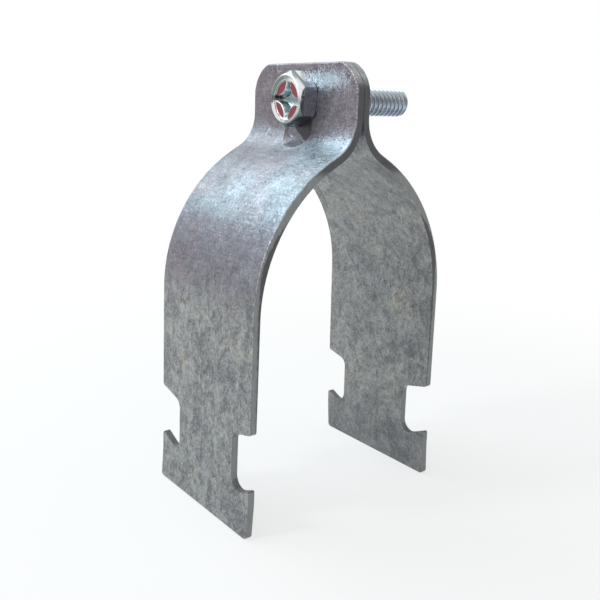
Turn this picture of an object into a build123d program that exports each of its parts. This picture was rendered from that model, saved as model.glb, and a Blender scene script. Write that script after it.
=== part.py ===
from build123d import *
from math import cos, radians, sin, sqrt, tan
import os

# Strut clamp: two identical bent straps, a hex-head screw through both ears and a square nut.
# The conduit axis is the Y axis, the screw axis is parallel to X, the feet point down.
# All lengths are in millimetres, all angles in degrees.

# Strap
conduit_diameter = 48.3
strap_width = 34.9
strap_thickness = 1.7
seam_gap = 0.1
leg_preload = 0.45
edge_roll = 0.4

# Bend line of one strap, from the ear down to the foot
ear_height = 7.4
bend_drop = 3.3
bend_radius = 8.2
flank_angle = 61.0
flank_length = 1.9
leg_splay = 1.0
foot_turn = 3.0
foot_bend_radius = 22.0
foot_bend_drop = 1.4
foot_end_drop = 9.1

# Ear outline
ear_top_width = 24.8
ear_corner_height = 5.8
ear_corner_radius = 7.3
ear_top_rounding = 0.8

# Notches that take the lips of the channel
channel_slot = 22.2
neck_clearance = 1.1
punch_offset = 0.6
shoulder_rise = 1.1
shoulder_slope = 13.5
shoulder_radius = 2.0
notch_depth = 12.1
notch_radius = 2.5
hook_slope = 24.0
corner_rounding = 0.8
hook_rounding = 0.35

# Pressed seat round the hole, which lets the head and the nut sit flat
seat_side_clearance = 0.1
seat_drop = 8.6
seat_corner_radius = 3.6
seat_draft = 20.0

# Screw
thread_diameter = 6.2
screw_length = 30.0
tip_chamfer = 1.1
hole_clearance = 0.45
head_across_flats = 10.0
head_height = 4.5
head_turn = 5.0
head_face_diameter = 9.6
head_chamfer_angle = 50.0
head_base_trim = 0.55
head_base_angle = 30.0
dish_diameter = 8.0
dish_depth = 0.3
slot_width = 1.2
slot_depth = 1.5
rim_notch_depth = 0.4
wing_span = 6.8
wing_width = 1.5
wing_root_width = 3.0
wing_depth = 2.8
seat_clearance = 0.05

# Square nut
nut_across_flats = 9.5
nut_thickness = 4.8
nut_chamfer_angle = 25.0
nut_bore_clearance = 0.05

# Values that follow from the ones above
conduit_radius = conduit_diameter / 2
leg_gap = conduit_radius - leg_preload
ear_inner = seam_gap / 2
ear_outer = ear_inner + strap_thickness
inner_bend_radius = bend_radius + strap_thickness
crown_sweep = flank_angle - leg_splay
crown_start = (
    ear_inner
    + inner_bend_radius * (1 - cos(radians(flank_angle)))
    + flank_length * sin(radians(flank_angle))
)
crown_radius = (leg_gap - crown_start) / (cos(radians(leg_splay)) - cos(radians(flank_angle)))
screw_level = (
    crown_radius * (sin(radians(flank_angle)) - sin(radians(leg_splay)))
    + flank_length * cos(radians(flank_angle))
    + inner_bend_radius * sin(radians(flank_angle))
    + bend_drop
)
ear_level = screw_level + ear_height
bend_level = screw_level - bend_drop
shoulder_level = -conduit_radius + shoulder_rise
notch_level = shoulder_level - notch_depth - shoulder_rise
foot_bend_level = notch_level - foot_bend_drop
foot_level = notch_level - foot_end_drop
half_width = strap_width / 2
neck_half = (channel_slot - neck_clearance) / 2
hole_radius = thread_diameter / 2 + hole_clearance
head_corner_radius = head_across_flats / 2 / cos(radians(30))
head_reach_at_bend = sqrt(head_corner_radius**2 - bend_drop**2)
seat_half_width = max(head_reach_at_bend, nut_across_flats / 2) + seat_side_clearance
beyond = strap_width


def strap_side(outward):
    """Line of one face of the bent strap in the XZ plane, the outer one or the inner one."""
    x = ear_outer if outward else ear_inner
    bend = bend_radius if outward else inner_bend_radius
    crown = crown_radius + strap_thickness if outward else crown_radius
    foot_bend = foot_bend_radius if outward else foot_bend_radius + strap_thickness
    ear = Line((x, ear_level), (x, bend_level))
    neck_bend = JernArc(ear @ 1, ear % 1, bend, flank_angle)
    flank = Line(neck_bend @ 1, neck_bend @ 1 + flank_length * (neck_bend % 1))
    arch = JernArc(flank @ 1, flank % 1, crown, -crown_sweep)
    down = arch % 1
    leg_run = ((arch @ 1).Y - foot_bend_level) / -down.Y
    leg = Line(arch @ 1, arch @ 1 + leg_run * down)
    foot_bend_arc = JernArc(leg @ 1, leg % 1, foot_bend, foot_turn)
    toe = foot_bend_arc % 1
    toe_run = ((foot_bend_arc @ 1).Y - foot_level) / -toe.Y
    foot = Line(foot_bend_arc @ 1, foot_bend_arc @ 1 + toe_run * toe)
    return [ear, neck_bend, flank, arch, leg, foot_bend_arc, foot]


def across_width(face):
    """Extrude a face of the XZ plane across the strap, evenly to both sides."""
    return extrude(Plane.XZ * face, strap_width, both=True)


def bent_strip():
    """The strap bent to shape, before its outline is punched."""
    outer = strap_side(True)
    inner = strap_side(False)
    top = Line(outer[0] @ 0, inner[0] @ 0)
    end = Line(outer[-1] @ 1, inner[-1] @ 1)
    return across_width(make_face(Curve() + outer + inner + [top, end]))


def inside_of_strip():
    """Everything from the middle plane of the clamp out to the outer face of the strap."""
    outer = strap_side(True)
    top = outer[0] @ 0
    end = outer[-1] @ 1
    rest = Polyline((top.X, top.Y), (ear_inner, top.Y), (ear_inner, end.Y), (end.X, end.Y))
    return across_width(make_face(Curve() + outer + [rest]))


def ear_corner(side):
    """Waste punched off one corner of the ear, bounded by a large round arc."""
    top = (side * ear_top_width / 2, ear_level)
    low = (side * half_width, ear_level - ear_corner_height)
    arc = RadiusArc(top, low, side * ear_corner_radius)
    rest = Polyline(low, (side * beyond, low[1]), (side * beyond, beyond * 2), (top[0], beyond * 2), top)
    return make_face(Curve() + [arc, rest])


def lip_notch(side):
    """Waste punched out of one side of the foot, with a sloping shoulder and a hooked lower edge."""
    neck = side * neck_half + punch_offset
    edge = side * beyond
    slope_out = Vector(side * cos(radians(shoulder_slope)), sin(radians(shoulder_slope)))
    hook_out = Vector(side * cos(radians(hook_slope)), sin(radians(hook_slope)))
    half_turn = radians((90 - shoulder_slope) / 2)
    shoulder_reach = shoulder_radius * sin(half_turn) / cos(half_turn)
    edge_point = Vector(side * half_width, shoulder_level)
    run = (half_width - side * neck) / cos(radians(shoulder_slope))
    corner = edge_point - run * slope_out
    shoulder_end = corner + shoulder_reach * slope_out
    neck_top = corner - Vector(0, shoulder_reach)
    outside_top = edge_point + (beyond - half_width) / cos(radians(shoulder_slope)) * slope_out
    neck_foot = Vector(neck, notch_level + notch_radius)
    shoulder = Line(outside_top, shoulder_end)
    shoulder_arc = JernArc(shoulder @ 1, shoulder % 1, shoulder_radius, side * (90 - shoulder_slope))
    neck_line = Line(neck_top, neck_foot)
    foot_arc = JernArc(neck_line @ 1, neck_line % 1, notch_radius, side * (90 + hook_slope))
    hook_run = (beyond - side * (foot_arc @ 1).X) / cos(radians(hook_slope))
    hook = Line(foot_arc @ 1, foot_arc @ 1 + hook_run * hook_out)
    closing = Line(hook @ 1, outside_top)
    return make_face(Curve() + [shoulder, shoulder_arc, neck_line, foot_arc, hook, closing])


def on_strap_edge(vertex):
    """Whether a corner of the outline lies on one of the long edges of the strap."""
    return abs(abs(vertex.X) - half_width) < 0.01


def punched_outline():
    """Front outline of the strap in the YZ plane, with its clipped ear, notches and rounded corners."""
    height = ear_level - foot_level
    blank = Pos(0, (ear_level + foot_level) / 2) * Rectangle(strap_width, height)
    for side in (-1, 1):
        blank -= ear_corner(side)
        blank -= lip_notch(side)
    top_corners = [v for v in blank.vertices() if v.Y > ear_level - 0.01]
    blank = fillet(top_corners, ear_top_rounding)
    shoulders = [v for v in blank.vertices() if on_strap_edge(v) and abs(v.Y - shoulder_level) < 0.1]
    blank = fillet(shoulders, corner_rounding)
    toes = [v for v in blank.vertices() if on_strap_edge(v) and v.Y < foot_level + 0.1]
    blank = fillet(toes, corner_rounding)
    hooks = [v for v in blank.vertices() if on_strap_edge(v) and foot_level + 1 < v.Y < shoulder_level - 1]
    blank = fillet(hooks, hook_rounding)
    return blank


def seat_shape(margin):
    """U shape of the pressed seat in the YZ plane, grown by a margin."""
    width = 2 * (seat_half_width + margin)
    height = seat_drop + margin
    blank = Pos(0, screw_level - height / 2) * Rectangle(width, height)
    low_corners = blank.vertices().group_by(Axis.Y)[0]
    return fillet(low_corners, seat_corner_radius + margin)


def as_solid(shape):
    """The one solid that a shape is made of."""
    return shape.solids()[0]


def outer_rim(strap):
    """Edges all round the outer face of a strap that has no seat or hole yet."""
    outer_faces = [face for face in strap.faces() if face.normal_at().X > 0.1]
    borders = [edge for face in outer_faces for edge in face.edges()]
    return [edge for edge in borders if borders.count(edge) == 1]


def strap_half():
    """One strap: bent, punched, its outer edges rolled, the seat pressed in and the hole pierced."""
    strip = bent_strip() & extrude(Plane.YZ * punched_outline(), 2 * beyond)
    strip = as_solid(strip)
    strip = strip.fillet(edge_roll, outer_rim(strip))
    cup = Plane.YZ.offset(ear_inner) * extrude(seat_shape(strap_thickness), beyond / 3, taper=-seat_draft)
    hollow = Plane.YZ.offset(ear_outer) * extrude(seat_shape(0), beyond / 3, taper=-seat_draft)
    hole = Pos(0, 0, screw_level) * Rot(0, 90, 0) * Cylinder(hole_radius, 2 * beyond)
    return strip + (cup & inside_of_strip()) - hollow - hole


def head_envelope():
    """Round bar that gives the hex its chamfered corners, bearing on the plane X = 0, face towards -X."""
    base_radius = head_corner_radius - head_base_trim
    base_drop = head_base_trim * tan(radians(head_base_angle))
    face_radius = head_face_diameter / 2
    face_drop = (head_corner_radius - face_radius) * tan(radians(head_chamfer_angle))
    outline = Polyline(
        (0, 0), (0, base_radius), (-base_drop, head_corner_radius),
        (face_drop - head_height, head_corner_radius), (-head_height, face_radius), (-head_height, 0), close=True
    )
    return revolve(make_face(outline), Axis.X)


def hex_head():
    """Hex head with its chamfered corners and the shallow dish in its face."""
    hexagon = RegularPolygon(head_across_flats / 2, 6, major_radius=False)
    blank = Rot(0, -90, 0) * extrude(hexagon, head_height)
    dish = Rot(0, -90, 0) * Pos(0, 0, head_height - dish_depth / 2) * Cylinder(dish_diameter / 2, dish_depth)
    return (blank & head_envelope()) - dish


def drive_recess():
    """Slot, shallow across the rim, and a tapering cross, cut from the face at X = 0 inwards along +X."""
    inward = (Align.MIN, Align.CENTER, Align.CENTER)
    recess = Box(slot_depth, dish_diameter, slot_width, align=inward)
    notch = Box(rim_notch_depth, head_across_flats * 2, slot_width, align=inward)
    reach = wing_span / 2
    foot = wing_root_width / 4
    outline = make_face(Polyline((0, -reach), (0, reach), (wing_depth, foot), (wing_depth, -foot), close=True))
    wing = extrude(outline, wing_width / 2, both=True)
    root = extrude(Plane.YZ * Rot(0, 0, 45) * Rectangle(wing_root_width, wing_root_width), wing_depth, taper=14)
    return recess + notch + wing + Rot(90, 0, 0) * wing + root


def clamp_screw():
    """Hex-head machine screw, its shank drawn at the thread's outer diameter."""
    bearing = -ear_outer - seat_clearance
    shank = Rot(0, 90, 0) * Cylinder(
        thread_diameter / 2, screw_length, align=(Align.CENTER, Align.CENTER, Align.MIN)
    )
    tip = shank.faces().sort_by(Axis.X)[-1]
    shank = chamfer(tip.edges(), tip_chamfer)
    head = hex_head() - Pos(-head_height, 0, 0) * drive_recess()
    return Pos(bearing, 0, screw_level) * Rot(head_turn, 0, 0) * (head + shank)


def square_nut():
    """Square nut with a chamfered outer face, on the outer face of the back ear."""
    bearing = ear_outer + seat_clearance
    corner_radius = nut_across_flats / 2 / cos(radians(45))
    face_radius = nut_across_flats / 2
    drop = (corner_radius - face_radius) * tan(radians(nut_chamfer_angle))
    blank = Box(nut_thickness, nut_across_flats, nut_across_flats, align=(Align.MIN, Align.CENTER, Align.CENTER))
    plain = Rot(0, 90, 0) * Pos(0, 0, (nut_thickness - drop) / 2) * Cylinder(corner_radius, nut_thickness - drop)
    crown = Rot(0, 90, 0) * Pos(0, 0, nut_thickness - drop / 2) * Cone(corner_radius, face_radius, drop)
    bore = Rot(0, 90, 0) * Cylinder(thread_diameter / 2 + nut_bore_clearance, nut_thickness * 4)
    return Pos(bearing, 0, screw_level) * ((blank & (plain + crown)) - bore)


def main():
    """Build the four pieces and write one file for each."""
    os.makedirs("parts", exist_ok=True)
    strap = strap_half()
    pieces = {
        "front_strap": Rot(0, 0, 180) * strap,
        "back_strap": strap,
        "clamp_screw": clamp_screw(),
        "square_nut": square_nut(),
    }
    for name, shape in pieces.items():
        export_step(as_solid(shape), "parts/" + name + ".step")


main()
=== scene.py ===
# Strut clamp: galvanised straps, a zinc-plated screw with a painted head, and a square nut
import math

import bpy
from mathutils import Matrix, Vector


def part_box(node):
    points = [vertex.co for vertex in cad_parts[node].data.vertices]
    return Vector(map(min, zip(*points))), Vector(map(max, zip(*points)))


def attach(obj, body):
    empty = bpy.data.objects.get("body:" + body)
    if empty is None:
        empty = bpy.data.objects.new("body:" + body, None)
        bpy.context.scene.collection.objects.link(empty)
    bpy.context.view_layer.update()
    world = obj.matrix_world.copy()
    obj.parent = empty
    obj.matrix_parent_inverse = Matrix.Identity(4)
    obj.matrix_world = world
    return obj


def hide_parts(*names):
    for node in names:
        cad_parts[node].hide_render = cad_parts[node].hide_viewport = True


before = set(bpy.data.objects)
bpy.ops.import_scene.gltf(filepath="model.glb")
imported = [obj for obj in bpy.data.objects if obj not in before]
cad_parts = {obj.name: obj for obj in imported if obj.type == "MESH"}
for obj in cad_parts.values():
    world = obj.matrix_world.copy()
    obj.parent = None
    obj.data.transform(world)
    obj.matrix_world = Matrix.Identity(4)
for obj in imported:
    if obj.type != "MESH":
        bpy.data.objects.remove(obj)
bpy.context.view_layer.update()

bl_info = {
    "name": "Strut Clamp",
    "version": (1, 0, 0),
    "blender": (4, 5, 0),
    "location": "3D View > Sidebar > Strut Clamp",
    "description": "Finishes the straps of a strut clamp and models its screw and nut in detail",
    "category": "Object",
}

MM = 0.001
SCREW_LOW, SCREW_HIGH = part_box("clamp_screw")
NUT_LOW, NUT_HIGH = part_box("square_nut")
SCREW_LEVEL = (SCREW_LOW.z + SCREW_HIGH.z) / 2
FLOOR_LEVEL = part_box("front_strap")[0].z

# Pressed seats: from the middle plane to the floor, and from the screw to the lower edge
SEAT_FACE = 1.75 * MM
SEAT_DROP = 8.6 * MM

# Edges that are picked may stray by SLACK; points nearer than WELD are merged
SLACK = MM / 100
WELD = 0.0005 * MM
THREAD_WELD = MM / 1000

# Small roundings
HEX_EASE = 0.12 * MM
CROWN_EASE = 0.10 * MM
DISH_EASE = 0.12 * MM
QUADRANT_EASE = 0.16 * MM
SLOT_EASE = 0.15 * MM
NUT_EASE = 0.2 * MM
CREST_EASE = 0.06 * MM
TIP_PROFILE = 0.35

# Head, thread and nut
FLAT_TO_CORNER = math.radians(30)
BASE_SLOPE = math.radians(30)
RECESS_LEDGE = 0.25 * MM
RECESS_TAPER = 0.55
QUADRANT_SPREAD = 0.28
SHANK_OVERLAP = 0.4 * MM
FLANK_SLOPE = math.radians(30)
THREAD_STEPS = 48
NUT_TRIM = 0.15 * MM
LEAD_IN = 0.45 * MM

# Floor, lamps and camera, in metres; the photo's focal length and width are in pixels
# and the sensor's width in millimetres
FLOOR_RADIUS = 1.5
FLOOR_DROP = 0.02 * MM
TOP_LAMP_PLACE = (-0.15, 0.37, 0.475)
TOP_LAMP_SIZE = 0.5
TOP_LAMP_COLOUR = (0.76, 0.95, 1.0)
SIDE_LAMP_PLACE = (-0.58, 0.17, 0.35)
SIDE_LAMP_SIZE = 0.12
FOCAL_LENGTH = 768.1
PHOTO_WIDTH = 600
SENSOR_WIDTH = 36
NEAREST_SEEN = 0.01
WHITE = (1, 1, 1, 1)

# Tints that multiply the zinc of the straps
LEG_TINT = (0.97, 0.985, 0.975, 1.0)
STRAW_TINT = (1.06, 1.02, 0.93, 1.0)
BLUE_TINT = (0.88, 0.92, 0.98, 1.0)
PURPLE_TINT = (0.73, 0.72, 0.82, 1.0)
PINK_TINT = (0.80, 0.70, 0.79, 1.0)
EAR_TINT = (0.78, 0.65, 0.72, 1.0)
# Gain of the painted highlight on the shoulder of the arch
SHOULDER_HIGHLIGHT_GAIN = (1.12, 1.26, 1.24, 1.0)

# Colours laid over the zinc of the straps
VEIN = (0.08, 0.085, 0.085, 1.0)
WISP = (0.37, 0.37, 0.345, 1.0)
BEND_PAINTED_SHADE = (0.08, 0.09, 0.10, 1.0)
FOOT_SHADE = (0.08, 0.085, 0.10, 1.0)
PIT = (0.07, 0.07, 0.08, 1.0)
SCRATCH = (0.55, 0.57, 0.58, 1.0)
SEAT_SIDE_SHADE = (0.09, 0.09, 0.10, 1.0)
REFLECTION_PATCH_DARK = (0.24, 0.30, 0.36, 1.0)
REFLECTION_PATCH_PALE = (0.60, 0.68, 0.76, 1.0)
SEAT_WALL_PAINTED_LIGHT = (0.80, 0.76, 0.80, 1.0)
HEAD_SHADOW = (0.03, 0.028, 0.028, 1.0)
ROLLED_EDGE_HIGHLIGHT = (0.42, 0.46, 0.46, 1.0)
CUT_PALE = (0.12, 0.12, 0.125, 1.0)
COATED_DARK = (0.20, 0.21, 0.21, 1.0)
COATED_PALE = (0.36, 0.38, 0.38, 1.0)
LEDGE_DIRT = (0.085, 0.075, 0.07, 1.0)

# Colours laid over the plating of the screw
SHANK_PAINTED_REFLECTION = (0.80, 0.92, 1.0, 1.0)
SHANK_PAINTED_SHADE = (0.27, 0.31, 0.33, 1.0)
ROOT_PAINTED_SHADE = (0.09, 0.10, 0.11, 1.0)
CROWN_SHEEN_DARK = (0.16, 0.20, 0.19, 1.0)
CROWN_SHEEN_PALE = (0.92, 0.95, 0.96, 1.0)
FLAT_REFLECTION_DARK = (0.23, 0.28, 0.25, 1.0)
FLAT_REFLECTION_PALE = (0.90, 0.98, 1.0, 1.0)
RECESS = (0.42, 0.52, 0.54, 1.0)
SLOT_WALL_SHADE = (0.28, 0.35, 0.37, 1.0)
SLOT_FLOOR_SHADE = (0.03, 0.035, 0.035, 1.0)
NOTCH_SHADE = (0.12, 0.09, 0.09, 1.0)


class StrapFinish(bpy.types.PropertyGroup):
    """Hot-dip galvanised finish of the two straps"""

    dark_zinc: bpy.props.FloatVectorProperty(
        name="Dark zinc", description="Colour of the dull patches", subtype="COLOR", size=3,
        min=0.0, max=1.0, default=(0.14, 0.14, 0.155))
    pale_zinc: bpy.props.FloatVectorProperty(
        name="Pale zinc", description="Colour of the bright patches", subtype="COLOR", size=3,
        min=0.0, max=1.0, default=(0.37, 0.385, 0.385))
    cut_edge: bpy.props.FloatVectorProperty(
        name="Cut edge", description="Colour of the sheared and punched edges",
        subtype="COLOR", size=3, min=0.0, max=1.0, default=(0.05, 0.05, 0.055))
    patch_size: bpy.props.FloatProperty(
        name="Patch size", description="Size of the cloudy patches", unit="LENGTH",
        default=5.0 * MM)
    grain_size: bpy.props.FloatProperty(
        name="Grain size", description="Size of the zinc crystals", unit="LENGTH", default=1.3 * MM)
    roughness: bpy.props.FloatProperty(
        name="Roughness", description="Roughness of the zinc", subtype="FACTOR",
        min=0.0, max=1.0, default=0.33)


class ScrewSizes(bpy.types.PropertyGroup):
    """Sizes and colours of the hex-head screw"""

    across_flats: bpy.props.FloatProperty(
        name="Across flats", description="Width of the hex head", unit="LENGTH", default=10.0 * MM)
    head_height: bpy.props.FloatProperty(
        name="Head height", description="Height of the hex head", unit="LENGTH", default=4.5 * MM)
    head_turn: bpy.props.FloatProperty(
        name="Head turn", description="How far the screw is turned from corner up",
        unit="ROTATION", default=math.radians(5))
    face_radius: bpy.props.FloatProperty(
        name="Face radius", description="Outer radius of the flat rim of the face",
        unit="LENGTH", default=4.8 * MM)
    chamfer_angle: bpy.props.FloatProperty(
        name="Chamfer angle", description="Slope of the chamfer round the face", unit="ROTATION",
        default=math.radians(50))
    base_trim: bpy.props.FloatProperty(
        name="Base trim", description="How much the corners lose where the head bears on the strap",
        unit="LENGTH", default=0.55 * MM)
    dish_radius: bpy.props.FloatProperty(
        name="Dish radius", description="Radius of the shallow dish in the face",
        unit="LENGTH", default=4.0 * MM)
    dish_depth: bpy.props.FloatProperty(
        name="Dish depth", description="Depth of the dish", unit="LENGTH", default=0.3 * MM)
    dish_shift: bpy.props.FloatVectorProperty(
        name="Dish shift", description="How far the dish is stamped off centre, across and up",
        size=2, subtype="TRANSLATION", unit="LENGTH", default=(-0.5 * MM, -0.2 * MM))
    quadrant_offset: bpy.props.FloatProperty(
        name="Quadrant offset", description="Distance of each raised quadrant from the slot",
        unit="LENGTH", default=3.38 * MM)
    quadrant_radius: bpy.props.FloatProperty(
        name="Quadrant radius", description="Radius of each raised quadrant",
        unit="LENGTH", default=2.78 * MM)
    recess_depth: bpy.props.FloatProperty(
        name="Recess depth", description="Depth of the cross recess under the dish",
        unit="LENGTH", default=1.7 * MM)
    slot_width: bpy.props.FloatProperty(
        name="Slot width", description="Width of the slot across the head",
        unit="LENGTH", default=1.2 * MM)
    slot_depth: bpy.props.FloatProperty(
        name="Slot depth", description="Depth of the slot from the rim",
        unit="LENGTH", default=1.5 * MM)
    rim_notch: bpy.props.FloatProperty(
        name="Rim notch", description="Depth of the slot where it crosses the rim",
        unit="LENGTH", default=0.4 * MM)
    crest_radius: bpy.props.FloatProperty(
        name="Crest radius", description="Outer radius of the thread",
        unit="LENGTH", default=3.1 * MM)
    root_radius: bpy.props.FloatProperty(
        name="Root radius", description="Inner radius of the thread",
        unit="LENGTH", default=2.42 * MM)
    pitch: bpy.props.FloatProperty(
        name="Pitch", description="Advance of the thread in one turn",
        unit="LENGTH", default=1.27 * MM)
    tip_rounding: bpy.props.FloatProperty(
        name="Tip rounding", description="How far the tip of the screw is rounded off",
        unit="LENGTH", default=1.8 * MM)
    plating: bpy.props.FloatVectorProperty(
        name="Plating", description="Colour of the zinc plating", subtype="COLOR", size=3,
        min=0.0, max=1.0, default=(0.50, 0.55, 0.59))
    paint: bpy.props.FloatVectorProperty(
        name="Paint", description="Colour of the paint on the quadrants", subtype="COLOR", size=3,
        min=0.0, max=1.0, default=(0.245, 0.028, 0.045))


class NutSizes(bpy.types.PropertyGroup):
    """Sizes and colour of the square nut"""

    across_flats: bpy.props.FloatProperty(
        name="Across flats", description="Width of the nut", unit="LENGTH", default=9.5 * MM)
    chamfer_angle: bpy.props.FloatProperty(
        name="Chamfer angle", description="Slope of the chamfer on the outer face", unit="ROTATION",
        default=math.radians(25))
    thread_clearance: bpy.props.FloatProperty(
        name="Thread clearance", description="Radial room between the two threads", unit="LENGTH",
        default=0.06 * MM)
    plating: bpy.props.FloatVectorProperty(
        name="Plating", description="Colour of the nut's zinc plating", subtype="COLOR", size=3,
        min=0.0, max=1.0, default=(0.46, 0.49, 0.52))


class StageSettings(bpy.types.PropertyGroup):
    """Floor, light and camera"""

    floor_colour: bpy.props.FloatVectorProperty(
        name="Floor colour", description="Colour of the pale floor", subtype="COLOR", size=3,
        min=0.0, max=1.0, default=(0.90, 0.90, 0.90))
    room_light: bpy.props.FloatProperty(
        name="Room light", description="Strength of the even light from all round",
        min=0.0, default=0.5)
    top_light: bpy.props.FloatProperty(
        name="Top light", description="Power of the large soft lamp above and behind",
        unit="POWER", default=2.5)
    side_light: bpy.props.FloatProperty(
        name="Side light", description="Power of the soft lamp on the left",
        unit="POWER", default=1.4)
    azimuth: bpy.props.FloatProperty(
        name="Azimuth", description="Turn of the camera round the clamp", unit="ROTATION",
        default=math.radians(-38.48))
    elevation: bpy.props.FloatProperty(
        name="Elevation", description="Height of the camera over the horizon", unit="ROTATION",
        default=math.radians(14.20))
    roll: bpy.props.FloatProperty(
        name="Roll", description="Tilt of the camera about its own axis", unit="ROTATION",
        default=math.radians(1.89))
    camera_place: bpy.props.FloatVectorProperty(
        name="Camera place", description="Where the camera stands", subtype="TRANSLATION", size=3,
        unit="LENGTH", default=(-104.69 * MM, -131.13 * MM, 39.73 * MM))
    lens: bpy.props.FloatProperty(
        name="Lens", description="Focal length in millimetres on a 36 mm sensor",
        default=FOCAL_LENGTH / PHOTO_WIDTH * SENSOR_WIDTH)


class Value:
    """A number on a node's socket, so that shader maths reads as plain arithmetic."""

    def __init__(self, shader, socket):
        self.shader = shader
        self.socket = socket

    def math(self, operation, *others, clamp=False):
        settings = {"operation": operation, "use_clamp": clamp}
        return self.shader.node("ShaderNodeMath", settings, [self, *others])

    def __add__(self, other):
        return self.math("ADD", other)

    __radd__ = __add__

    def __sub__(self, other):
        return self.math("SUBTRACT", other)

    def __rsub__(self, other):
        return self.shader.node("ShaderNodeMath", {"operation": "SUBTRACT"}, [other, self])

    def __mul__(self, other):
        return self.math("MULTIPLY", other)

    __rmul__ = __mul__

    def __truediv__(self, other):
        return self.math("DIVIDE", other)

    def __pow__(self, other):
        return self.math("POWER", other)

    def __abs__(self):
        return self.math("ABSOLUTE")

    def clamped(self):
        return self.math("ADD", 0.0, clamp=True)

    def larger(self, other):
        return self.math("MAXIMUM", other)

    def step(self, low, high):
        """Rises smoothly from 0 at low to 1 at high."""
        settings = {"interpolation_type": "SMOOTHSTEP"}
        return self.shader.node("ShaderNodeMapRange", settings, [self, low, high, 0.0, 1.0])

    def rise(self, low, high):
        """The same step between two lengths in millimetres."""
        return self.step(low * MM, high * MM)

    def fall(self, low, high):
        """The opposite step, from 1 down to 0, between two lengths in millimetres."""
        return 1 - self.rise(low, high)


class Shader:
    """The node tree of one material or world."""

    def __init__(self, owner):
        owner.use_nodes = True
        self.tree = owner.node_tree
        self.tree.nodes.clear()

    def node(self, kind, settings=None, inputs=(), output=0):
        """Adds a node, sets it up, fills its sockets by name or number and gives one output."""
        made = self.tree.nodes.new(kind)
        for name, value in (settings or {}).items():
            setattr(made, name, value)
        pairs = inputs.items() if isinstance(inputs, dict) else enumerate(inputs)
        for key, value in pairs:
            if isinstance(value, Value):
                self.tree.links.new(value.socket, made.inputs[key])
            else:
                made.inputs[key].default_value = value
        return Value(self, made.outputs[output]) if made.outputs else None

    def mix(self, factor, first, second, blend="MIX"):
        """Mixes two colours."""
        settings = {"data_type": "RGBA", "blend_type": blend}
        return self.node("ShaderNodeMix", settings, {0: factor, 6: first, 7: second}, 2)

    def laid_over(self, base, layers):
        """A colour with other colours laid over it in turn, each where its own mask says."""
        for mask, colour in layers:
            base = self.mix(mask, base, colour)
        return base

    def scaled(self, vector, *factors):
        """A place scaled along the axes, which draws a noise out along those with small factors."""
        return self.node("ShaderNodeVectorMath", {"operation": "MULTIPLY"}, [vector, factors])

    def place(self):
        """Where a point of the piece is, in metres."""
        return self.node("ShaderNodeTexCoord", output="Object")

    def facing(self):
        """Which way the surface faces, in the piece's own axes."""
        return self.node("ShaderNodeTexCoord", output="Normal")

    def parts(self, vector):
        """The three numbers of a vector."""
        x = self.node("ShaderNodeSeparateXYZ", inputs=[vector])
        outputs = x.socket.node.outputs
        return [Value(self, outputs[i]) for i in range(3)]

    def noise(self, vector, size, detail=3.0, roughness=0.5, distortion=0.0):
        """Cloudy noise whose features are about as large as size, in metres."""
        inputs = {"Vector": vector, "Scale": 1 / size, "Detail": detail,
                  "Roughness": roughness, "Distortion": distortion}
        return self.node("ShaderNodeTexNoise", inputs=inputs)

    def cells(self, vector, size):
        """One grey level for each crystal of a broken pattern."""
        inputs = {"Vector": vector, "Scale": 1 / size}
        colour = self.node("ShaderNodeTexVoronoi", inputs=inputs, output="Color")
        return self.parts(colour)[0]

    def bump(self, height, distance, strength):
        inputs = {"Strength": strength, "Distance": distance, "Height": height}
        return self.node("ShaderNodeBump", inputs=inputs)

    def finish(self, surface):
        self.node("ShaderNodeOutputMaterial", inputs={"Surface": surface})

    def principled(self, **inputs):
        named = {name.replace("_", " "): value for name, value in inputs.items()}
        self.finish(self.node("ShaderNodeBsdfPrincipled", inputs=named))


def opaque(colour):
    """A colour with full alpha."""
    return (*colour, 1.0)


class StrapSurface:
    """A point of a strap: where it lies, which way it faces, and the noises of its finish."""

    def __init__(self, s, finish):
        self.place = s.place()
        self.x, self.y, self.z = s.parts(self.place)
        self.faces_x, self.faces_y, self.faces_z = s.parts(s.facing())
        self.drawn = s.scaled(self.place, 0.85, 1.0, 0.85)
        self.cloud = s.noise(self.drawn, finish.patch_size, 6.0, 0.65, 1.1)
        self.mottle = s.noise(self.drawn, finish.grain_size * 1.7, 5.0, 0.72, 2.2)
        self.grain = s.noise(self.place, 0.45 * MM, 3.0, 0.6)
        self.crystal = s.cells(self.drawn, finish.grain_size)
        self.streak = s.noise(s.scaled(self.place, 0.2, 1.0, 0.2), 0.9 * MM, 3.0, 0.6)
        self.brushed = s.noise(s.scaled(self.place, 1.0, 0.12, 1.0), 0.5 * MM, 3.0, 0.6)
        self.curdled = abs(s.noise(self.place, 3.2 * MM, 4.0, 0.62, 1.6) - 0.5)
        self.pits = s.noise(self.place, 1.1 * MM, 3.0, 0.7, 0.5).step(0.64, 0.71)
        self.scratch = hairlines(s, self.place)
        self.outer = (self.faces_x * self.x).rise(0.0, 0.5)
        self.upper = self.jittered(self.cloud, 14).rise(-2, 7) * self.outer
        self.speckle = (
            (self.mottle - 0.5) * 1.9 + (self.grain - 0.5) * (1.5 + self.upper * 0.8)
            + (self.crystal - 0.5) * 0.12 + (self.streak - 0.5) * 0.2)
        # One strap is the other turned half round, so side runs the same way along both.
        turned = self.x / abs(self.x) * -1
        self.side = self.y * turned
        self.faces_side = self.faces_y * turned

    def jittered(self, noise, spread):
        """The level over the conduit's axis, made uneven by a spread in millimetres."""
        return self.z + (noise - 0.5) * (spread * MM)


def hairlines(s, place):
    """Sparse fine scratches along the strap."""
    line = abs(s.noise(s.scaled(place, 0.45, 1.0, 0.45), 6.0 * MM, 1.0, 0.4, 0.5) - 0.5)
    return (1 - line.step(0.0, 0.006)) * s.noise(place, 4.0 * MM, 1.0).step(0.52, 0.62)


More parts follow.
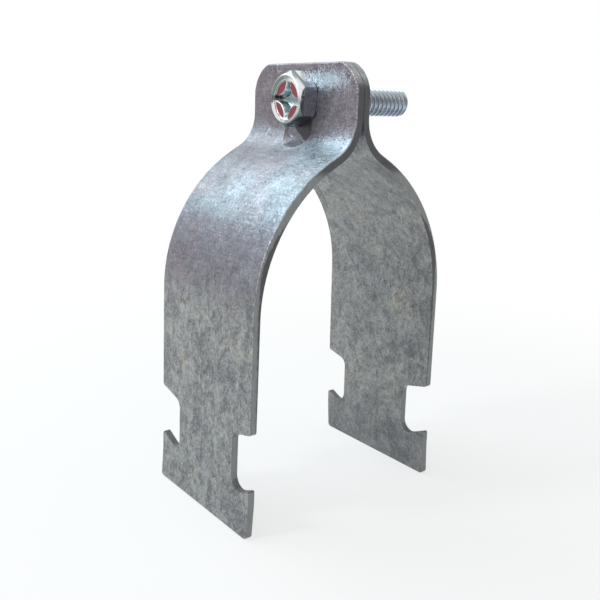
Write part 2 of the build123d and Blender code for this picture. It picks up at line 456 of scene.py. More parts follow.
def zinc_tone(at):
    """How pale the zinc is, from 0 to 1: cloudy on the legs, brushed and more even above."""
    clouds = (at.cloud - 0.5) * (1.8 + at.outer * 1.1 - at.upper * 1.5)
    specks = at.speckle * (1.05 + at.outer * 0.35 - at.upper * 0.7)
    return (0.5 + clouds + specks + (at.brushed - 0.5) * at.upper * 0.9).clamped()


def leg_tint(s, place):
    """Neutral zinc with faint straw, grey-green and blue-grey blotches."""
    straw = s.noise(place, 5.5 * MM, 3.0, 0.6, 0.6).step(0.50, 0.68)
    blue = s.noise(place, 4.2 * MM, 3.0, 0.6, 0.9).step(0.54, 0.70)
    return s.mix(blue, s.mix(straw, LEG_TINT, STRAW_TINT), BLUE_TINT)


def upper_tint(s, place, z):
    """Duller purple zinc, pinker in patches and on the ears."""
    pink = s.noise(place, 8.0 * MM, 3.0, 0.6, 0.5).step(0.45, 0.62)
    return s.mix(z.rise(34, 38) * 0.7, s.mix(pink, PURPLE_TINT, PINK_TINT), EAR_TINT)


def painted_shoulder_highlight(at):
    """The brighter stretch of the arch under the bend: a painted highlight that strengthens the
    lamp's reflection there.
    """
    start = at.jittered(at.mottle, 8).rise(15.5, 18.5)
    return start * at.outer * (at.z + at.side * 0.35).fall(22, 28)


def painted_bend_shade(at):
    """The duller half of the bend: painted shade that dims the lamp's highlight on that side."""
    return at.side.rise(0.0, 12) * at.z.rise(21, 25) * at.z.fall(35, 37) * at.outer


def inside_feet(at):
    """The inside of the feet, which sees little light."""
    return (1 - at.outer) * at.jittered(at.cloud, 20).fall(-42, -24)


def painted_reflection_patches(at):
    """Painted reflections: bright flecks beside each screw hole and along one end of the bend."""
    across = (at.side + 8 * MM) / (8 * MM)
    up = (at.z - SCREW_LEVEL - 3.9 * MM) / (2.6 * MM)
    ear = 1 - ((across * across + up * up) ** 0.5 + at.speckle * -0.9).step(0.3, 1.1)
    border = at.speckle * (1.5 * MM)
    along = (at.z + border).rise(27.5, 31) * (at.z - border).fall(32.2, 34.4)
    bend = (at.side + border).fall(-6.5, -3)
    return ear.larger(bend * along).clamped() * at.outer


def bend_shade_beside_seat(at):
    """A dull patch on the bend, on the other side of the seat: painted shade that dims the lamp's
    highlight there.
    """
    across = at.side.rise(3.5, 5) * (at.side + at.speckle * (2 * MM)).fall(7, 11)
    return across * at.z.rise(31, 33) * at.z.fall(36, 38.5) * at.outer


def painted_seat_wall_light(at):
    """Painted light on the wall of the pressed seats, which lifts the shade that the head casts
    there.
    """
    inner = at.side.rise(1, 2) * at.side.fall(7, 8) * (at.faces_side * -1).step(0.15, 0.5)
    off_floor = abs(at.x).step(SEAT_FACE - 0.05 * MM, SEAT_FACE + 0.1 * MM)
    return inner * off_floor * at.z.rise(29, 30)


def painted_head_shadow(at):
    """The head's shadow, painted dark into one corner of the pressed seats, just below the head."""
    height = at.z - SCREW_LEVEL
    ripple = (at.grain - 0.5) * (0.5 * MM)
    # The painted shadow ends along a line from the foot of the head to the seat's lower edge.
    inward = (at.side - 1.96 * MM) * -0.606 + (height + 6.05 * MM) * 0.795 + ripple
    corner = inward.rise(-0.1, 0.3) * (at.side + 4.6 * MM).rise(0.0, 1.4)
    down = (height + SEAT_DROP).rise(0.0, 0.4) * height.fall(-4.2, -3.0)
    depth = abs(at.x)
    floor = depth.step(SEAT_FACE - 0.25 * MM, SEAT_FACE - 0.15 * MM)
    shallow = 1 - depth.step(SEAT_FACE + 0.3 * MM, SEAT_FACE + 1.0 * MM)
    return (corner * down * floor * shallow * (0.85 + (at.grain - 0.5) * 0.8)).clamped()


def cut_steel(s, at, finish):
    """Sheared steel, with zinc over the outer part of the edge up to the bend."""
    shear = s.noise(s.scaled(at.place, 1.0, 1.0, 0.1), 0.3 * MM, 2.0)
    bare = s.mix(shear, opaque(finish.cut_edge), CUT_PALE)
    outwards = (at.x * at.x + at.z.larger(0.0) * at.z) ** 0.5 - at.z.rise(2, 12) * (1.3 * MM)
    coated = at.z.fall(26, 28) * (outwards + (at.mottle - 0.5) * (1.2 * MM)).rise(24.0, 24.5)
    return s.mix(coated * 0.85, bare, s.mix(shear, COATED_DARK, COATED_PALE))


def galvanised_material(finish):
    """Hot-dip galvanised steel: purple and dull above, neutral and mottled on the legs."""
    material = bpy.data.materials.new("galvanised_strap")
    s = Shader(material)
    at = StrapSurface(s, finish)
    tone = zinc_tone(at)
    tint = s.mix(at.upper, leg_tint(s, at.place), upper_tint(s, at.place, at.z))
    zinc = s.mix(tone, opaque(finish.dark_zinc), opaque(finish.pale_zinc))
    zinc = s.mix(1.0, zinc, tint, "MULTIPLY")
    vein = (1 - at.curdled.step(0.0, 0.045)) * (1 - at.upper * 0.7)
    wisp = s.noise(at.drawn, 4.5 * MM, 6.0, 0.62, 2.6).step(0.52, 0.66) * (1 - at.upper * 0.8)
    zinc = s.laid_over(zinc, [(vein * 0.35, VEIN), (wisp * 0.42, WISP)])
    # Painted highlight: the zinc is made paler and bluer over the shoulder of the arch.
    zinc = s.mix(painted_shoulder_highlight(at), zinc, s.mix(1.0, zinc, SHOULDER_HIGHLIGHT_GAIN, "MULTIPLY"))
    foot = at.z.fall(-18, -16)
    side_on = (abs(at.faces_y) * abs(at.y).rise(7, 8)).larger(abs(at.faces_z) * foot)
    # Painted highlight: a pale line along the rolled edges, between the face and the cut side.
    rolled_highlight = side_on.step(0.2, 0.45) * (1 - side_on.step(0.80, 0.90)) * at.mottle.step(0.35, 0.6)
    zinc = s.laid_over(zinc, [
        # Painted shade that dims one side of the highlight on the bend.
        (painted_bend_shade(at) * 0.22, BEND_PAINTED_SHADE),
        (inside_feet(at) * 0.3, FOOT_SHADE),
        (at.pits * 0.5, PIT),
        (at.scratch * 0.4, SCRATCH),
        # Painted shade over the highlight on the bend beside the seat.
        (bend_shade_beside_seat(at) * 0.45, SEAT_SIDE_SHADE),
        # Painted reflections: bright flecks beside the screw holes and along one end of the bend.
        (painted_reflection_patches(at) * 0.85, s.mix(at.mottle, REFLECTION_PATCH_DARK, REFLECTION_PATCH_PALE)),
        # Painted light on the seat walls, which lie in the head's shadow.
        (painted_seat_wall_light(at) * 0.9, SEAT_WALL_PAINTED_LIGHT),
        # Painted shadow of the head in the seat.
        (painted_head_shadow(at), HEAD_SHADOW),
        (rolled_highlight * 0.55, ROLLED_EDGE_HIGHLIGHT),
    ])
    edge = side_on.step(0.88, 0.97)
    ledge = at.faces_z.step(0.2, 0.6) * foot
    dirt = ledge * (0.55 + (at.mottle - 0.5) * 1.2).clamped()
    colour = s.laid_over(zinc, [(edge, cut_steel(s, at, finish)), (dirt, LEDGE_DIRT)])
    rough = (
        finish.roughness + (tone - 0.5) * -0.12 + (at.crystal - 0.5) * 0.10
        + at.pits * 0.25 + edge * 0.18 + ledge * 0.3)
    height = (
        at.mottle * 0.5 + at.cloud * 0.7 + at.grain * 0.2 + at.crystal * 0.06 + at.streak * 0.15
        + at.curdled.step(0.0, 0.10) * 0.22 + at.brushed * at.upper * 0.2
        - at.pits * 0.3 - at.scratch * 0.12)
    s.principled(
        Base_Color=colour, Metallic=0.75 - edge * 0.45, Roughness=rough,
        Normal=s.bump(height, 0.10 * MM, 0.9))
    return material


class ScrewSurface:
    """A point of the screw: round its axis, round the dish, and along and over the slot."""

    def __init__(self, s, place, sizes):
        self.x, self.y, z = s.parts(place)
        self.height = z - SCREW_LEVEL
        self.radius = (self.y * self.y + self.height * self.height) ** 0.5
        self.depth = self.x - SCREW_LOW.x
        self.faces_z = s.parts(s.facing())[2]
        across, up = self.y - sizes.dish_shift[0], self.height - sizes.dish_shift[1]
        self.from_dish = (across * across + up * up) ** 0.5
        cosine, sine = math.cos(sizes.head_turn), math.sin(sizes.head_turn)
        self.along_slot = self.y * cosine + self.height * sine
        self.over_slot = self.height * cosine - self.y * sine


def zinc_material(name, plating, screw=None):
    """Bright zinc plating; screw adds the paint of that screw and the painted light and shade on
    its head, shank, thread roots and slot.
    """
    material = bpy.data.materials.new(name)
    s = Shader(material)
    place = s.place()
    cloud = s.noise(place, 1.6 * MM, 4.0, 0.6, 0.5)
    fine = s.noise(place, 0.35 * MM, 3.0, 0.6)
    tone = (0.5 + (cloud - 0.5) * 1.3 + (fine - 0.5) * 0.8).clamped()
    dull = tuple(0.55 * c for c in plating)
    colour = s.mix(tone, opaque(dull), opaque(plating))
    rough = 0.20 + (1 - tone) * 0.16
    metallic = 1.0
    if screw:
        at = ScrewSurface(s, place, screw)
        cloudy = s.noise(place, 1.5 * MM, 3.0, 0.6, 0.8) - 0.5
        colour = s.laid_over(colour, [
            *shank_painted_light(at, screw), *crown_painted_light(s, at, screw, cloudy), *recess_colour_and_shade(at)])
        paint = quadrant_paint(at, screw, fine)
        faded = tuple(0.75 * c for c in screw.paint)
        colour = s.mix(paint, colour, s.mix(cloud, opaque(faded), opaque(screw.paint)))
        metallic = 1 - paint
        rough = rough + paint * 0.15
    height = cloud * 0.5 + fine * 0.3
    s.principled(
        Base_Color=colour, Metallic=metallic, Roughness=rough,
        Normal=s.bump(height, 0.02 * MM, 0.6))
    return material


def shank_painted_light(at, sizes):
    """Layers of the shank: a painted reflection that makes it pale from below, painted shade that
    makes it darker from above, and painted shade in the roots of the thread.
    """
    shank = at.x.rise(-1.5, -1.0)
    root = 1 - at.radius.step(sizes.root_radius, sizes.root_radius + 0.22 * MM)
    return [
        (shank * (0.1 - at.faces_z).step(0.0, 0.45), SHANK_PAINTED_REFLECTION),
        (shank * at.faces_z.step(0.2, 0.8) * 0.5, SHANK_PAINTED_SHADE),
        (root * shank * 0.45, ROOT_PAINTED_SHADE),
    ]


def crown_painted_light(s, at, sizes, cloudy):
    """Painted light on the turned crown and the flats behind it: a sheen along one diagonal, glints
    at the rims, and a reflection dark at the front of the top flats and pale at their back.
    """
    diagonal = 0.5 - (at.y / at.radius) * (at.height / at.radius) + cloudy * 1.3
    painted_sheen = diagonal.step(0.45, 0.80) * (1 - at.height.rise(3.6, 4.6) * 0.75)
    dish = sizes.dish_radius
    dish_rim = 1 - at.from_dish.step(dish + 0.08 * MM, dish + 0.2 * MM)
    rims = dish_rim.larger(at.radius.rise(4.6, 4.72) * at.depth.fall(0.2, 0.4))
    # Painted sheen and rim glints on the crown, dimmed near the top.
    turned = s.mix((painted_sheen * 0.85).larger(rims * 0.55), CROWN_SHEEN_DARK, CROWN_SHEEN_PALE)
    top = at.height.rise(3, 4)
    front = at.depth.rise(1.15, 1.35) * (at.depth + cloudy * MM).fall(1.9, 2.2)
    back = at.depth.rise(2.0, 2.3) * at.depth.fall(4.4, 4.6)
    return [
        (at.depth.fall(1.15, 1.35) * 0.9, turned),
        # Painted reflection on the top flats: dark at the front, pale towards the base.
        (front * top * 0.8, FLAT_REFLECTION_DARK),
        (back * top * 0.95, FLAT_REFLECTION_PALE),
    ]


def recess_colour_and_shade(at):
    """Layers of the recess and the slot: a pale hollow, painted shade that darkens the slot, and
    painted shade in one rim notch.
    """
    inside = at.depth.rise(0.4, 0.8) * at.radius.fall(4.35, 4.5) * at.depth.fall(2.8, 3.2)
    level = abs(at.over_slot)
    slot = level.fall(0.55, 0.75) * at.depth.fall(2.2, 2.4)
    slot = slot * at.depth.rise(0.3, 0.5) * at.radius.fall(4.6, 4.8)
    # Painted shade, darkest in the middle of the slot's floor.
    deep = slot * (at.y.rise(1.4, 2.2) * 0.45 + 0.4) * level.fall(0.1, 0.4)
    # Painted shade in the notch where the slot crosses the rim.
    notch_band = abs(at.over_slot + 0.5 * MM).fall(0.5, 1.0)
    notch_shade = notch_band * at.depth.fall(0.5, 0.6) * at.radius.rise(3.9, 4.1)
    return [
        (inside * 0.9, RECESS),
        (slot * level.rise(0.05, 0.2), SLOT_WALL_SHADE),
        (deep, SLOT_FLOOR_SHADE),
        (notch_shade * at.y.rise(0.0, 1.0) * 0.85, NOTCH_SHADE),
    ]


def quadrant_paint(at, sizes, fine):
    """Where the raised quadrants of the head carry paint."""
    across = at.along_slot - sizes.dish_shift[0]
    up = at.over_slot - sizes.dish_shift[1]
    radius = (across * across + up * up) ** 0.5
    beside = abs(across) - sizes.quadrant_offset
    above = abs(up) - sizes.quadrant_offset
    from_post = (beside * beside + above * above) ** 0.5 + (fine - 0.5) * (0.35 * MM)
    edge = sizes.quadrant_radius - 0.10 * MM
    inside_post = 1 - from_post.step(edge - 0.12 * MM, edge)
    rim = sizes.dish_radius - 0.06 * MM
    inside_dish = 1 - (radius + (fine - 0.5) * (0.3 * MM)).step(rim - 0.12 * MM, rim)
    floor = SCREW_LOW.x + sizes.dish_depth
    on_floor = 1 - at.x.step(floor + 0.06 * MM, floor + 0.14 * MM)
    return inside_post * inside_dish * on_floor


def deselect_all():
    bpy.ops.object.select_all(action="DESELECT")


def pick(piece):
    """Make a piece the only selected and active one."""
    deselect_all()
    piece.select_set(True)
    bpy.context.view_layer.objects.active = piece


def settle(piece, name):
    """Name a new primitive and move its place into its mesh."""
    piece.name = name
    piece.data.name = name
    bpy.ops.object.transform_apply(location=True, rotation=True, scale=True)
    return piece


def round_bar(name, radius, low, high, end_radius=None, sides=96):
    """A cylinder or cone along the screw's axis, from low to high."""
    deselect_all()
    bpy.ops.mesh.primitive_cone_add(
        vertices=sides, radius1=radius, radius2=radius if end_radius is None else end_radius,
        depth=high - low, location=((low + high) / 2, 0, SCREW_LEVEL),
        rotation=(0, math.pi / 2, 0))
    return settle(bpy.context.active_object, name)


def block(name, low, high):
    """A box between two corners."""
    deselect_all()
    middle = [(a + b) / 2 for a, b in zip(low, high)]
    bpy.ops.mesh.primitive_cube_add(size=1, location=middle)
    piece = bpy.context.active_object
    piece.scale = [b - a for a, b in zip(low, high)]
    return settle(piece, name)


def open_with(piece, kind, wanted):
    """Enter edit mode with only the wanted faces, edges or vertices selected."""
    pick(piece)
    bpy.ops.object.mode_set(mode="EDIT")
    bpy.ops.mesh.select_mode(type=kind)
    bpy.ops.mesh.select_all(action="DESELECT")
    bpy.ops.object.mode_set(mode="OBJECT")
    lists = {"FACE": piece.data.polygons, "EDGE": piece.data.edges, "VERT": piece.data.vertices}
    for item in lists[kind]:
        item.select = bool(wanted(item))
    bpy.ops.object.mode_set(mode="EDIT")


def close():
    """Leave edit mode."""
    bpy.ops.object.mode_set(mode="OBJECT")


def everything(item):
    """Picks every face, edge or vertex."""
    return True


def ends(piece, edge):
    """The two end points of an edge."""
    return [piece.data.vertices[i].co for i in edge.vertices]


def run_along(piece, edge):
    """How far an edge runs along the screw's axis."""
    first, last = ends(piece, edge)
    return abs(first.x - last.x)


def from_axis(point):
    """Distance of a point from the screw's axis."""
    return math.hypot(point.y, point.z - SCREW_LEVEL)


def soften(piece, offset, wanted, segments=3, profile=0.5):
    """Bevel the wanted edges."""
    open_with(piece, "EDGE", wanted)
    bpy.ops.mesh.bevel(
        offset=offset, offset_type="OFFSET", segments=segments, profile=profile, affect="EDGES")
    close()


def combine(piece, other, operation):
    """Join, cut or intersect a piece with another, which is used up."""
    pick(piece)
    modifier = piece.modifiers.new(operation.title(), "BOOLEAN")
    modifier.operation = operation
    modifier.solver = "EXACT"
    modifier.object = other
    bpy.ops.object.modifier_apply(modifier=modifier.name)
    bpy.data.objects.remove(other, do_unlink=True)
    return piece


def tidy_mesh(piece):
    """Merge doubles, point the faces outwards and shade the piece with crisp edges."""
    open_with(piece, "FACE", everything)
    bpy.ops.mesh.remove_doubles(threshold=WELD)
    bpy.ops.mesh.dissolve_degenerate(threshold=WELD)
    bpy.ops.mesh.normals_make_consistent(inside=False)
    close()
    pick(piece)
    bpy.ops.object.shade_smooth_by_angle(angle=math.radians(30))
    weighted = piece.modifiers.new("Weighted normals", "WEIGHTED_NORMAL")
    weighted.keep_sharp = True
    bpy.ops.object.modifier_apply(modifier=weighted.name)


def hex_blank(sizes, low, high):
    """A hexagonal bar with its corners up and down, its long edges slightly rounded."""
    corner = sizes.across_flats / 2 / math.cos(FLAT_TO_CORNER)
    bar = round_bar("hex_head", corner, low, high, sides=6)
    turn(bar, FLAT_TO_CORNER)
    soften(bar, HEX_EASE, lambda e: run_along(bar, e) > high - low - SLACK)
    return bar


def draw_in(bar, side, trim, drop):
    """Chamfer one end of a round bar: shrink its end face by trim and pull it out by drop."""
    open_with(bar, "FACE", lambda face: face.normal.x * side > 0.9)
    bpy.ops.mesh.inset(thickness=trim, depth=0)
    bpy.ops.transform.translate(value=(side * drop, 0, 0))
    close()


def crown(name, outer, inner, low, high, slope, trim, fall):
    """A round bar chamfered to a smaller face at its low end, and by trim and fall at the other."""
    drop = (outer - inner) * math.tan(slope)
    bar = round_bar(name, outer, low + drop, high - fall)
    draw_in(bar, -1, outer - inner, drop)
    draw_in(bar, 1, trim, fall)
    soften(bar, CROWN_EASE, lambda e: all(p.x < low + SLACK for p in ends(bar, e)))
    return bar


def recess_cutter(sizes, face):
    """Solid of the dish and the cross recess under it, with the four quadrants left standing."""
    floor = face + sizes.dish_depth
    bottom = floor + sizes.recess_depth
    cutter = round_bar("recess", sizes.dish_radius, face - 0.4 * MM, floor)
    open_with(cutter, "FACE", lambda f: f.normal.x > 0.9)
    bpy.ops.mesh.inset(thickness=RECESS_LEDGE, depth=0)
    bpy.ops.mesh.extrude_region_move(TRANSFORM_OT_translate={"value": (sizes.recess_depth, 0, 0)})
    bpy.ops.transform.resize(
        value=(1, RECESS_TAPER, RECESS_TAPER), center_override=(bottom, 0, SCREW_LEVEL))
    close()
    near_wall = sizes.dish_radius - 0.1 * MM
    soften(cutter, DISH_EASE, lambda e: all(
        abs(p.x - floor) < SLACK and from_axis(p) > near_wall for p in ends(cutter, e)))
    for side in (-1, 1):
        for rise in (-1, 1):
            combine(cutter, quadrant(sizes, side, rise, floor, bottom), "DIFFERENCE")
    return shift(cutter, *sizes.dish_shift)


def shift(piece, across, up):
    """Move a piece's mesh across the head and up."""
    open_with(piece, "VERT", everything)
    bpy.ops.transform.translate(value=(0, across, up))
    close()
    return piece


def turn(piece, angle):
    """Turn a piece's mesh about the screw's axis, clockwise as seen by the screwdriver."""
    open_with(piece, "VERT", everything)
    bpy.ops.transform.rotate(
        value=-angle, orient_axis="X", center_override=(0, 0, SCREW_LEVEL))
    close()


def quadrant(sizes, side, rise, floor, bottom):
    """One raised quadrant: a post that widens downwards, with a rounded top edge."""
    spread = (bottom - floor) * QUADRANT_SPREAD
    post = round_bar(
        "quadrant", sizes.quadrant_radius, floor, bottom + 0.3 * MM,
        end_radius=sizes.quadrant_radius + spread, sides=72)
    soften(post, QUADRANT_EASE, lambda e: all(p.x < floor + SLACK for p in ends(post, e)))
    return shift(post, side * sizes.quadrant_offset, rise * sizes.quadrant_offset)


def slot_cutter(sizes, face):
    """Bar that cuts the slot: deep inside the dish and shallow where it crosses the rim."""
    half = sizes.slot_width / 2
    low, high = SCREW_LEVEL - half, SCREW_LEVEL + half
    deep = sizes.dish_radius - 0.1 * MM
    across = sizes.across_flats
    bar = block("slot", (face - MM, -deep, low), (face + sizes.slot_depth, deep, high))
    soften(bar, SLOT_EASE, lambda e: all(p.x > face for p in ends(bar, e)), segments=2)
    rim = block(
        "rim_notch", (face - 1.2 * MM, -across, low), (face + sizes.rim_notch, across, high))
    return combine(bar, rim, "UNION")


def thread(name, crest, root, pitch, low, high):
    """A closed right-hand thread along X, cut square at both ends."""
    deselect_all()
    flank = (crest - root) * math.tan(FLANK_SLOPE)
    crest_run = pitch / 8
    root_run = pitch - 2 * flank - crest_run
    ease = CREST_EASE
    climb = crest - root - ease
    steps = [
        (root_run, 0), (flank - ease / 2, climb), (ease, ease),
        (crest_run - ease, 0), (ease, -ease), (flank - ease / 2, -climb)]
    bpy.ops.mesh.primitive_plane_add(size=pitch / 2, location=(low - 2 * pitch, 0, SCREW_LEVEL))
    bar = bpy.context.active_object
    bar.name = bar.data.name = name
    bpy.ops.object.mode_set(mode="EDIT")
    bpy.ops.mesh.select_mode(type="VERT")
    bpy.ops.mesh.select_all(action="SELECT")
    bpy.ops.mesh.merge(type="CENTER")
    bpy.ops.transform.translate(value=(0, 0, root))
    for along, out in steps:
        bpy.ops.mesh.extrude_region_move(TRANSFORM_OT_translate={"value": (along, 0, out)})
    close()
    turns = bar.modifiers.new("Turns", "SCREW")
    turns.axis = "X"
    turns.angle = 2 * math.pi
    turns.screw_offset = pitch
    turns.iterations = math.ceil((high - low) / pitch) + 4
    turns.steps = turns.render_steps = THREAD_STEPS
    turns.use_merge_vertices = True
    turns.merge_threshold = THREAD_WELD
    turns.use_normal_calculate = True
    pick(bar)
    bpy.ops.object.modifier_apply(modifier=turns.name)
    bpy.ops.object.transform_apply(location=True, rotation=True, scale=True)
    for at, facing in ((low, -1), (high, 1)):
        open_with(bar, "FACE", everything)
        bpy.ops.mesh.remove_doubles(threshold=THREAD_WELD)
        bpy.ops.mesh.bisect(
            plane_co=(at, 0, SCREW_LEVEL), plane_no=(facing, 0, 0), use_fill=True,
            clear_outer=True, threshold=THREAD_WELD / 10)
        close()
    open_with(bar, "FACE", everything)
    bpy.ops.mesh.normals_make_consistent(inside=False)
    close()
    return bar


def finish_piece(piece, name, material, body, node):
    """Name a finished piece, give it its material and tie it to the CAD frame."""
    piece.name = piece.data.name = name
    piece.data.materials.clear()
    piece.data.materials.append(material)
    for face in piece.data.polygons:
        face.material_index = 0
    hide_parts(node)
    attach(piece, body)


class STRUTCLAMP_OT_dress_straps(bpy.types.Operator):
    """Give both straps their galvanised finish"""

    bl_idname = "strut_clamp.dress_straps"
    bl_label = "Dress straps"

    def execute(self, context):
        material = galvanised_material(context.scene.strap_finish)
        for name in ("front_strap", "back_strap"):
            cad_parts[name].data.materials[0] = material
        return {"FINISHED"}


class STRUTCLAMP_OT_build_screw(bpy.types.Operator):
    """Model the hex-head screw with its thread and its painted recess"""

    bl_idname = "strut_clamp.build_screw"
    bl_label = "Build screw"

    def execute(self, context):
        sizes = context.scene.screw_sizes
        face = SCREW_LOW.x
        bearing = face + sizes.head_height
        corner = sizes.across_flats / 2 / math.cos(FLAT_TO_CORNER)
        head = hex_blank(sizes, face - MM, bearing)
        envelope = crown(
            "crown", corner, sizes.face_radius, face, bearing, sizes.chamfer_angle,
            trim=sizes.base_trim, fall=sizes.base_trim * math.tan(BASE_SLOPE))
        combine(head, envelope, "INTERSECT")
        combine(head, recess_cutter(sizes, face), "DIFFERENCE")
        combine(head, slot_cutter(sizes, face), "DIFFERENCE")
        turn(head, sizes.head_turn)
        shank = thread(
            "shank", sizes.crest_radius, sizes.root_radius, sizes.pitch,
            bearing - SHANK_OVERLAP, SCREW_HIGH.x)
        tip = round_bar("tip", sizes.crest_radius + 0.05 * MM, bearing - MM, SCREW_HIGH.x)
        soften(
            tip, sizes.tip_rounding,
            lambda e: all(p.x > SCREW_HIGH.x - SLACK for p in ends(tip, e)),
            segments=5, profile=TIP_PROFILE)
        combine(shank, tip, "INTERSECT")
        combine(head, shank, "UNION")
        tidy_mesh(head)
        material = zinc_material("zinc_screw", sizes.plating, sizes)
        finish_piece(head, "hex_head_screw", material, "screw", "clamp_screw")
        return {"FINISHED"}


class STRUTCLAMP_OT_build_nut(bpy.types.Operator):
    """Model the square nut with its chamfered face and its thread"""

    bl_idname = "strut_clamp.build_nut"
    bl_label = "Build nut"

    def execute(self, context):
        sizes = context.scene.nut_sizes
        screw = context.scene.screw_sizes
        half = sizes.across_flats / 2
        low, high = NUT_LOW.x, NUT_HIGH.x
        blank = block("nut", (low, -half, SCREW_LEVEL - half), (high, half, SCREW_LEVEL + half))
        soften(blank, NUT_EASE, lambda e: run_along(blank, e) > (high - low) / 2)
        corner = half * math.sqrt(2)
        # The crown is made facing the head and then mirrored, because the nut faces the tip.
        shape = crown(
            "nut_crown", corner, half, -high, -low, sizes.chamfer_angle,
            trim=NUT_TRIM, fall=NUT_TRIM)
        open_with(shape, "VERT", everything)
        bpy.ops.transform.resize(value=(-1, 1, 1), center_override=(0, 0, SCREW_LEVEL))
        bpy.ops.mesh.normals_make_consistent(inside=False)
        close()
        combine(blank, shape, "INTERSECT")
        # The tap starts whole turns along the screw's own thread, so that the two run together.
        room = sizes.thread_clearance
        first = SCREW_LOW.x + screw.head_height - SHANK_OVERLAP
        turns = math.floor((low - first) / screw.pitch) - 1
        tap = thread(
            "tap", screw.crest_radius + room, screw.root_radius + room, screw.pitch,
            first + turns * screw.pitch, high + 2 * screw.pitch)
        combine(blank, tap, "DIFFERENCE")
        wide = screw.crest_radius + room + 0.1 * MM
        for at, side in ((low, -1), (high, 1)):
            cone = round_bar(
                "lead", wide - side * LEAD_IN, at - LEAD_IN, at + LEAD_IN,
                end_radius=wide + side * LEAD_IN)
            combine(blank, cone, "DIFFERENCE")
        tidy_mesh(blank)
        material = zinc_material("zinc_nut", sizes.plating)
        finish_piece(blank, "square_nut_detailed", material, "nut", "square_nut")
        return {"FINISHED"}


def soft_lamp(name, power, size, place, colour=(1, 1, 1)):
    """A square soft box aimed at the middle of the clamp."""
    deselect_all()
    bpy.ops.object.light_add(type="AREA")
    lamp = bpy.context.active_object
    lamp.name = lamp.data.name = name
    lamp.data.energy = power
    lamp.data.shape = "SQUARE"
    lamp.data.size = size
    lamp.data.color = colour
    lamp.location = place
    lamp.rotation_euler = (-Vector(place)).to_track_quat("-Z", "Y").to_euler()
    lamp.visible_camera = False


def background_rays(s):
    """1 for the rays that should see the plain white background, else 0."""
    path = s.node("ShaderNodeLightPath").socket.node.outputs
    seen = Value(s, path["Is Camera Ray"])
    for name in ("Is Glossy Ray", "Is Transmission Ray"):
        seen = seen.larger(Value(s, path[name]))
    return seen


def white_world(settings):
    """A white background with soft, even light for the rest."""
    world = bpy.data.worlds.new("white_studio")
    s = Shader(world)
    room = s.node("ShaderNodeBackground", inputs=[WHITE, settings.room_light])
    white = s.node("ShaderNodeBackground", inputs=[WHITE, 1.0])
    both = s.node("ShaderNodeMixShader", inputs=[background_rays(s), room, white])
    s.node("ShaderNodeOutputWorld", inputs={"Surface": both})
    bpy.context.scene.world = world


def floor_material(settings):
    """A pale floor that fades into the white background and can't be seen from below."""
    material = bpy.data.materials.new("pale_floor")
    s = Shader(material)
    x, y = s.parts(s.place())[:2]
    far = ((x * x + y * y) ** 0.5).rise(70, 220)
    plain = s.node("ShaderNodeBsdfDiffuse", inputs=[opaque(settings.floor_colour)])
    white = s.node("ShaderNodeEmission", inputs=[WHITE, 1.0])
    fade = (0.7 + far * 0.3) * background_rays(s)
    fading = s.node("ShaderNodeMixShader", inputs=[fade, plain, white])
    clear = s.node("ShaderNodeBsdfTransparent")
    below = s.node("ShaderNodeNewGeometry", output="Backfacing")
    s.finish(s.node("ShaderNodeMixShader", inputs=[below, fading, clear]))
    return material


def place_camera(settings):
    """Stand the camera where the photograph was taken from."""
    azimuth, elevation, roll = settings.azimuth, settings.elevation, settings.roll
    level = math.cos(elevation)
    ahead = Vector(
        (-math.sin(azimuth) * level, math.cos(azimuth) * level, -math.sin(elevation)))
    right = Vector((math.cos(azimuth), math.sin(azimuth), 0))
    up = right.cross(ahead)
    across = math.cos(roll) * right + math.sin(roll) * up
    above = -math.sin(roll) * right + math.cos(roll) * up
    deselect_all()
    bpy.ops.object.camera_add()
    camera = bpy.context.active_object
    camera.name = "photo_camera"
    stand = Matrix((across, above, -ahead)).transposed().to_4x4()
    stand.translation = Vector(settings.camera_place)
    camera.matrix_world = stand
    camera.data.sensor_width = SENSOR_WIDTH
    camera.data.lens = settings.lens
    camera.data.clip_start = NEAREST_SEEN
    camera.data.dof.use_dof = False
    bpy.context.scene.camera = camera


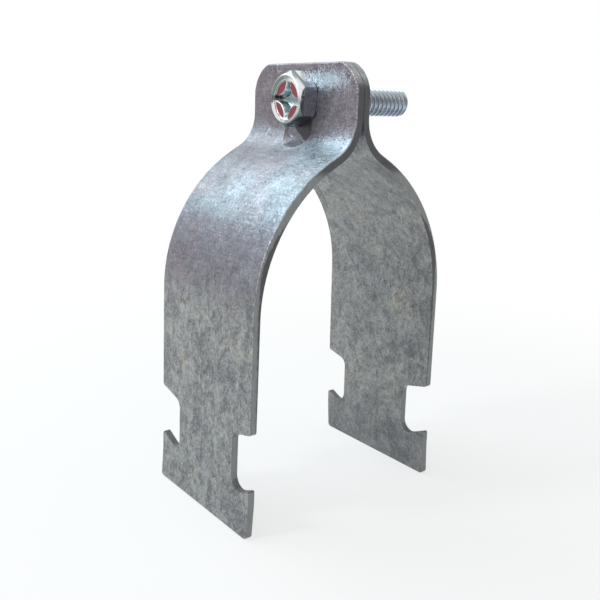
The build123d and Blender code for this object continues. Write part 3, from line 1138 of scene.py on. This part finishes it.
class STRUTCLAMP_OT_set_stage(bpy.types.Operator):
    """Lay the floor and set the lamps, the background and the camera"""

    bl_idname = "strut_clamp.set_stage"
    bl_label = "Set stage"

    def execute(self, context):
        settings = context.scene.stage_settings
        deselect_all()
        bpy.ops.mesh.primitive_circle_add(
            vertices=96, radius=FLOOR_RADIUS, fill_type="NGON",
            location=(0, 0, FLOOR_LEVEL - FLOOR_DROP))
        floor = settle(bpy.context.active_object, "floor")
        floor.data.materials.append(floor_material(settings))
        soft_lamp(
            "top_lamp", settings.top_light, TOP_LAMP_SIZE, TOP_LAMP_PLACE, TOP_LAMP_COLOUR)
        soft_lamp("side_lamp", settings.side_light, SIDE_LAMP_SIZE, SIDE_LAMP_PLACE)
        white_world(settings)
        place_camera(settings)
        context.scene.view_settings.view_transform = "Standard"
        return {"FINISHED"}


class STRUTCLAMP_PT_panel(bpy.types.Panel):
    """Lists the steps that dress the clamp"""

    bl_idname = "STRUTCLAMP_PT_panel"
    bl_label = "Strut Clamp"
    bl_space_type = "VIEW_3D"
    bl_region_type = "UI"
    bl_category = "Strut Clamp"

    def draw(self, context):
        scene = context.scene
        steps = (
            ("strut_clamp.dress_straps", scene.strap_finish),
            ("strut_clamp.build_screw", scene.screw_sizes),
            ("strut_clamp.build_nut", scene.nut_sizes),
            ("strut_clamp.set_stage", scene.stage_settings),
        )
        for step, group in steps:
            box = self.layout.box()
            box.operator(step)
            for name in group.__annotations__:
                box.prop(group, name)


CLASSES = (
    StrapFinish,
    ScrewSizes,
    NutSizes,
    StageSettings,
    STRUTCLAMP_OT_dress_straps,
    STRUTCLAMP_OT_build_screw,
    STRUTCLAMP_OT_build_nut,
    STRUTCLAMP_OT_set_stage,
    STRUTCLAMP_PT_panel,
)


def register():
    for each in CLASSES:
        bpy.utils.register_class(each)
    bpy.types.Scene.strap_finish = bpy.props.PointerProperty(type=StrapFinish)
    bpy.types.Scene.screw_sizes = bpy.props.PointerProperty(type=ScrewSizes)
    bpy.types.Scene.nut_sizes = bpy.props.PointerProperty(type=NutSizes)
    bpy.types.Scene.stage_settings = bpy.props.PointerProperty(type=StageSettings)


def unregister():
    for name in ("strap_finish", "screw_sizes", "nut_sizes", "stage_settings"):
        delattr(bpy.types.Scene, name)
    for each in reversed(CLASSES):
        bpy.utils.unregister_class(each)


def main():
    """Build everything in order."""
    register()
    bpy.ops.strut_clamp.dress_straps()
    bpy.ops.strut_clamp.build_screw()
    bpy.ops.strut_clamp.build_nut()
    bpy.ops.strut_clamp.set_stage()


if __name__ == "__main__":
    main()
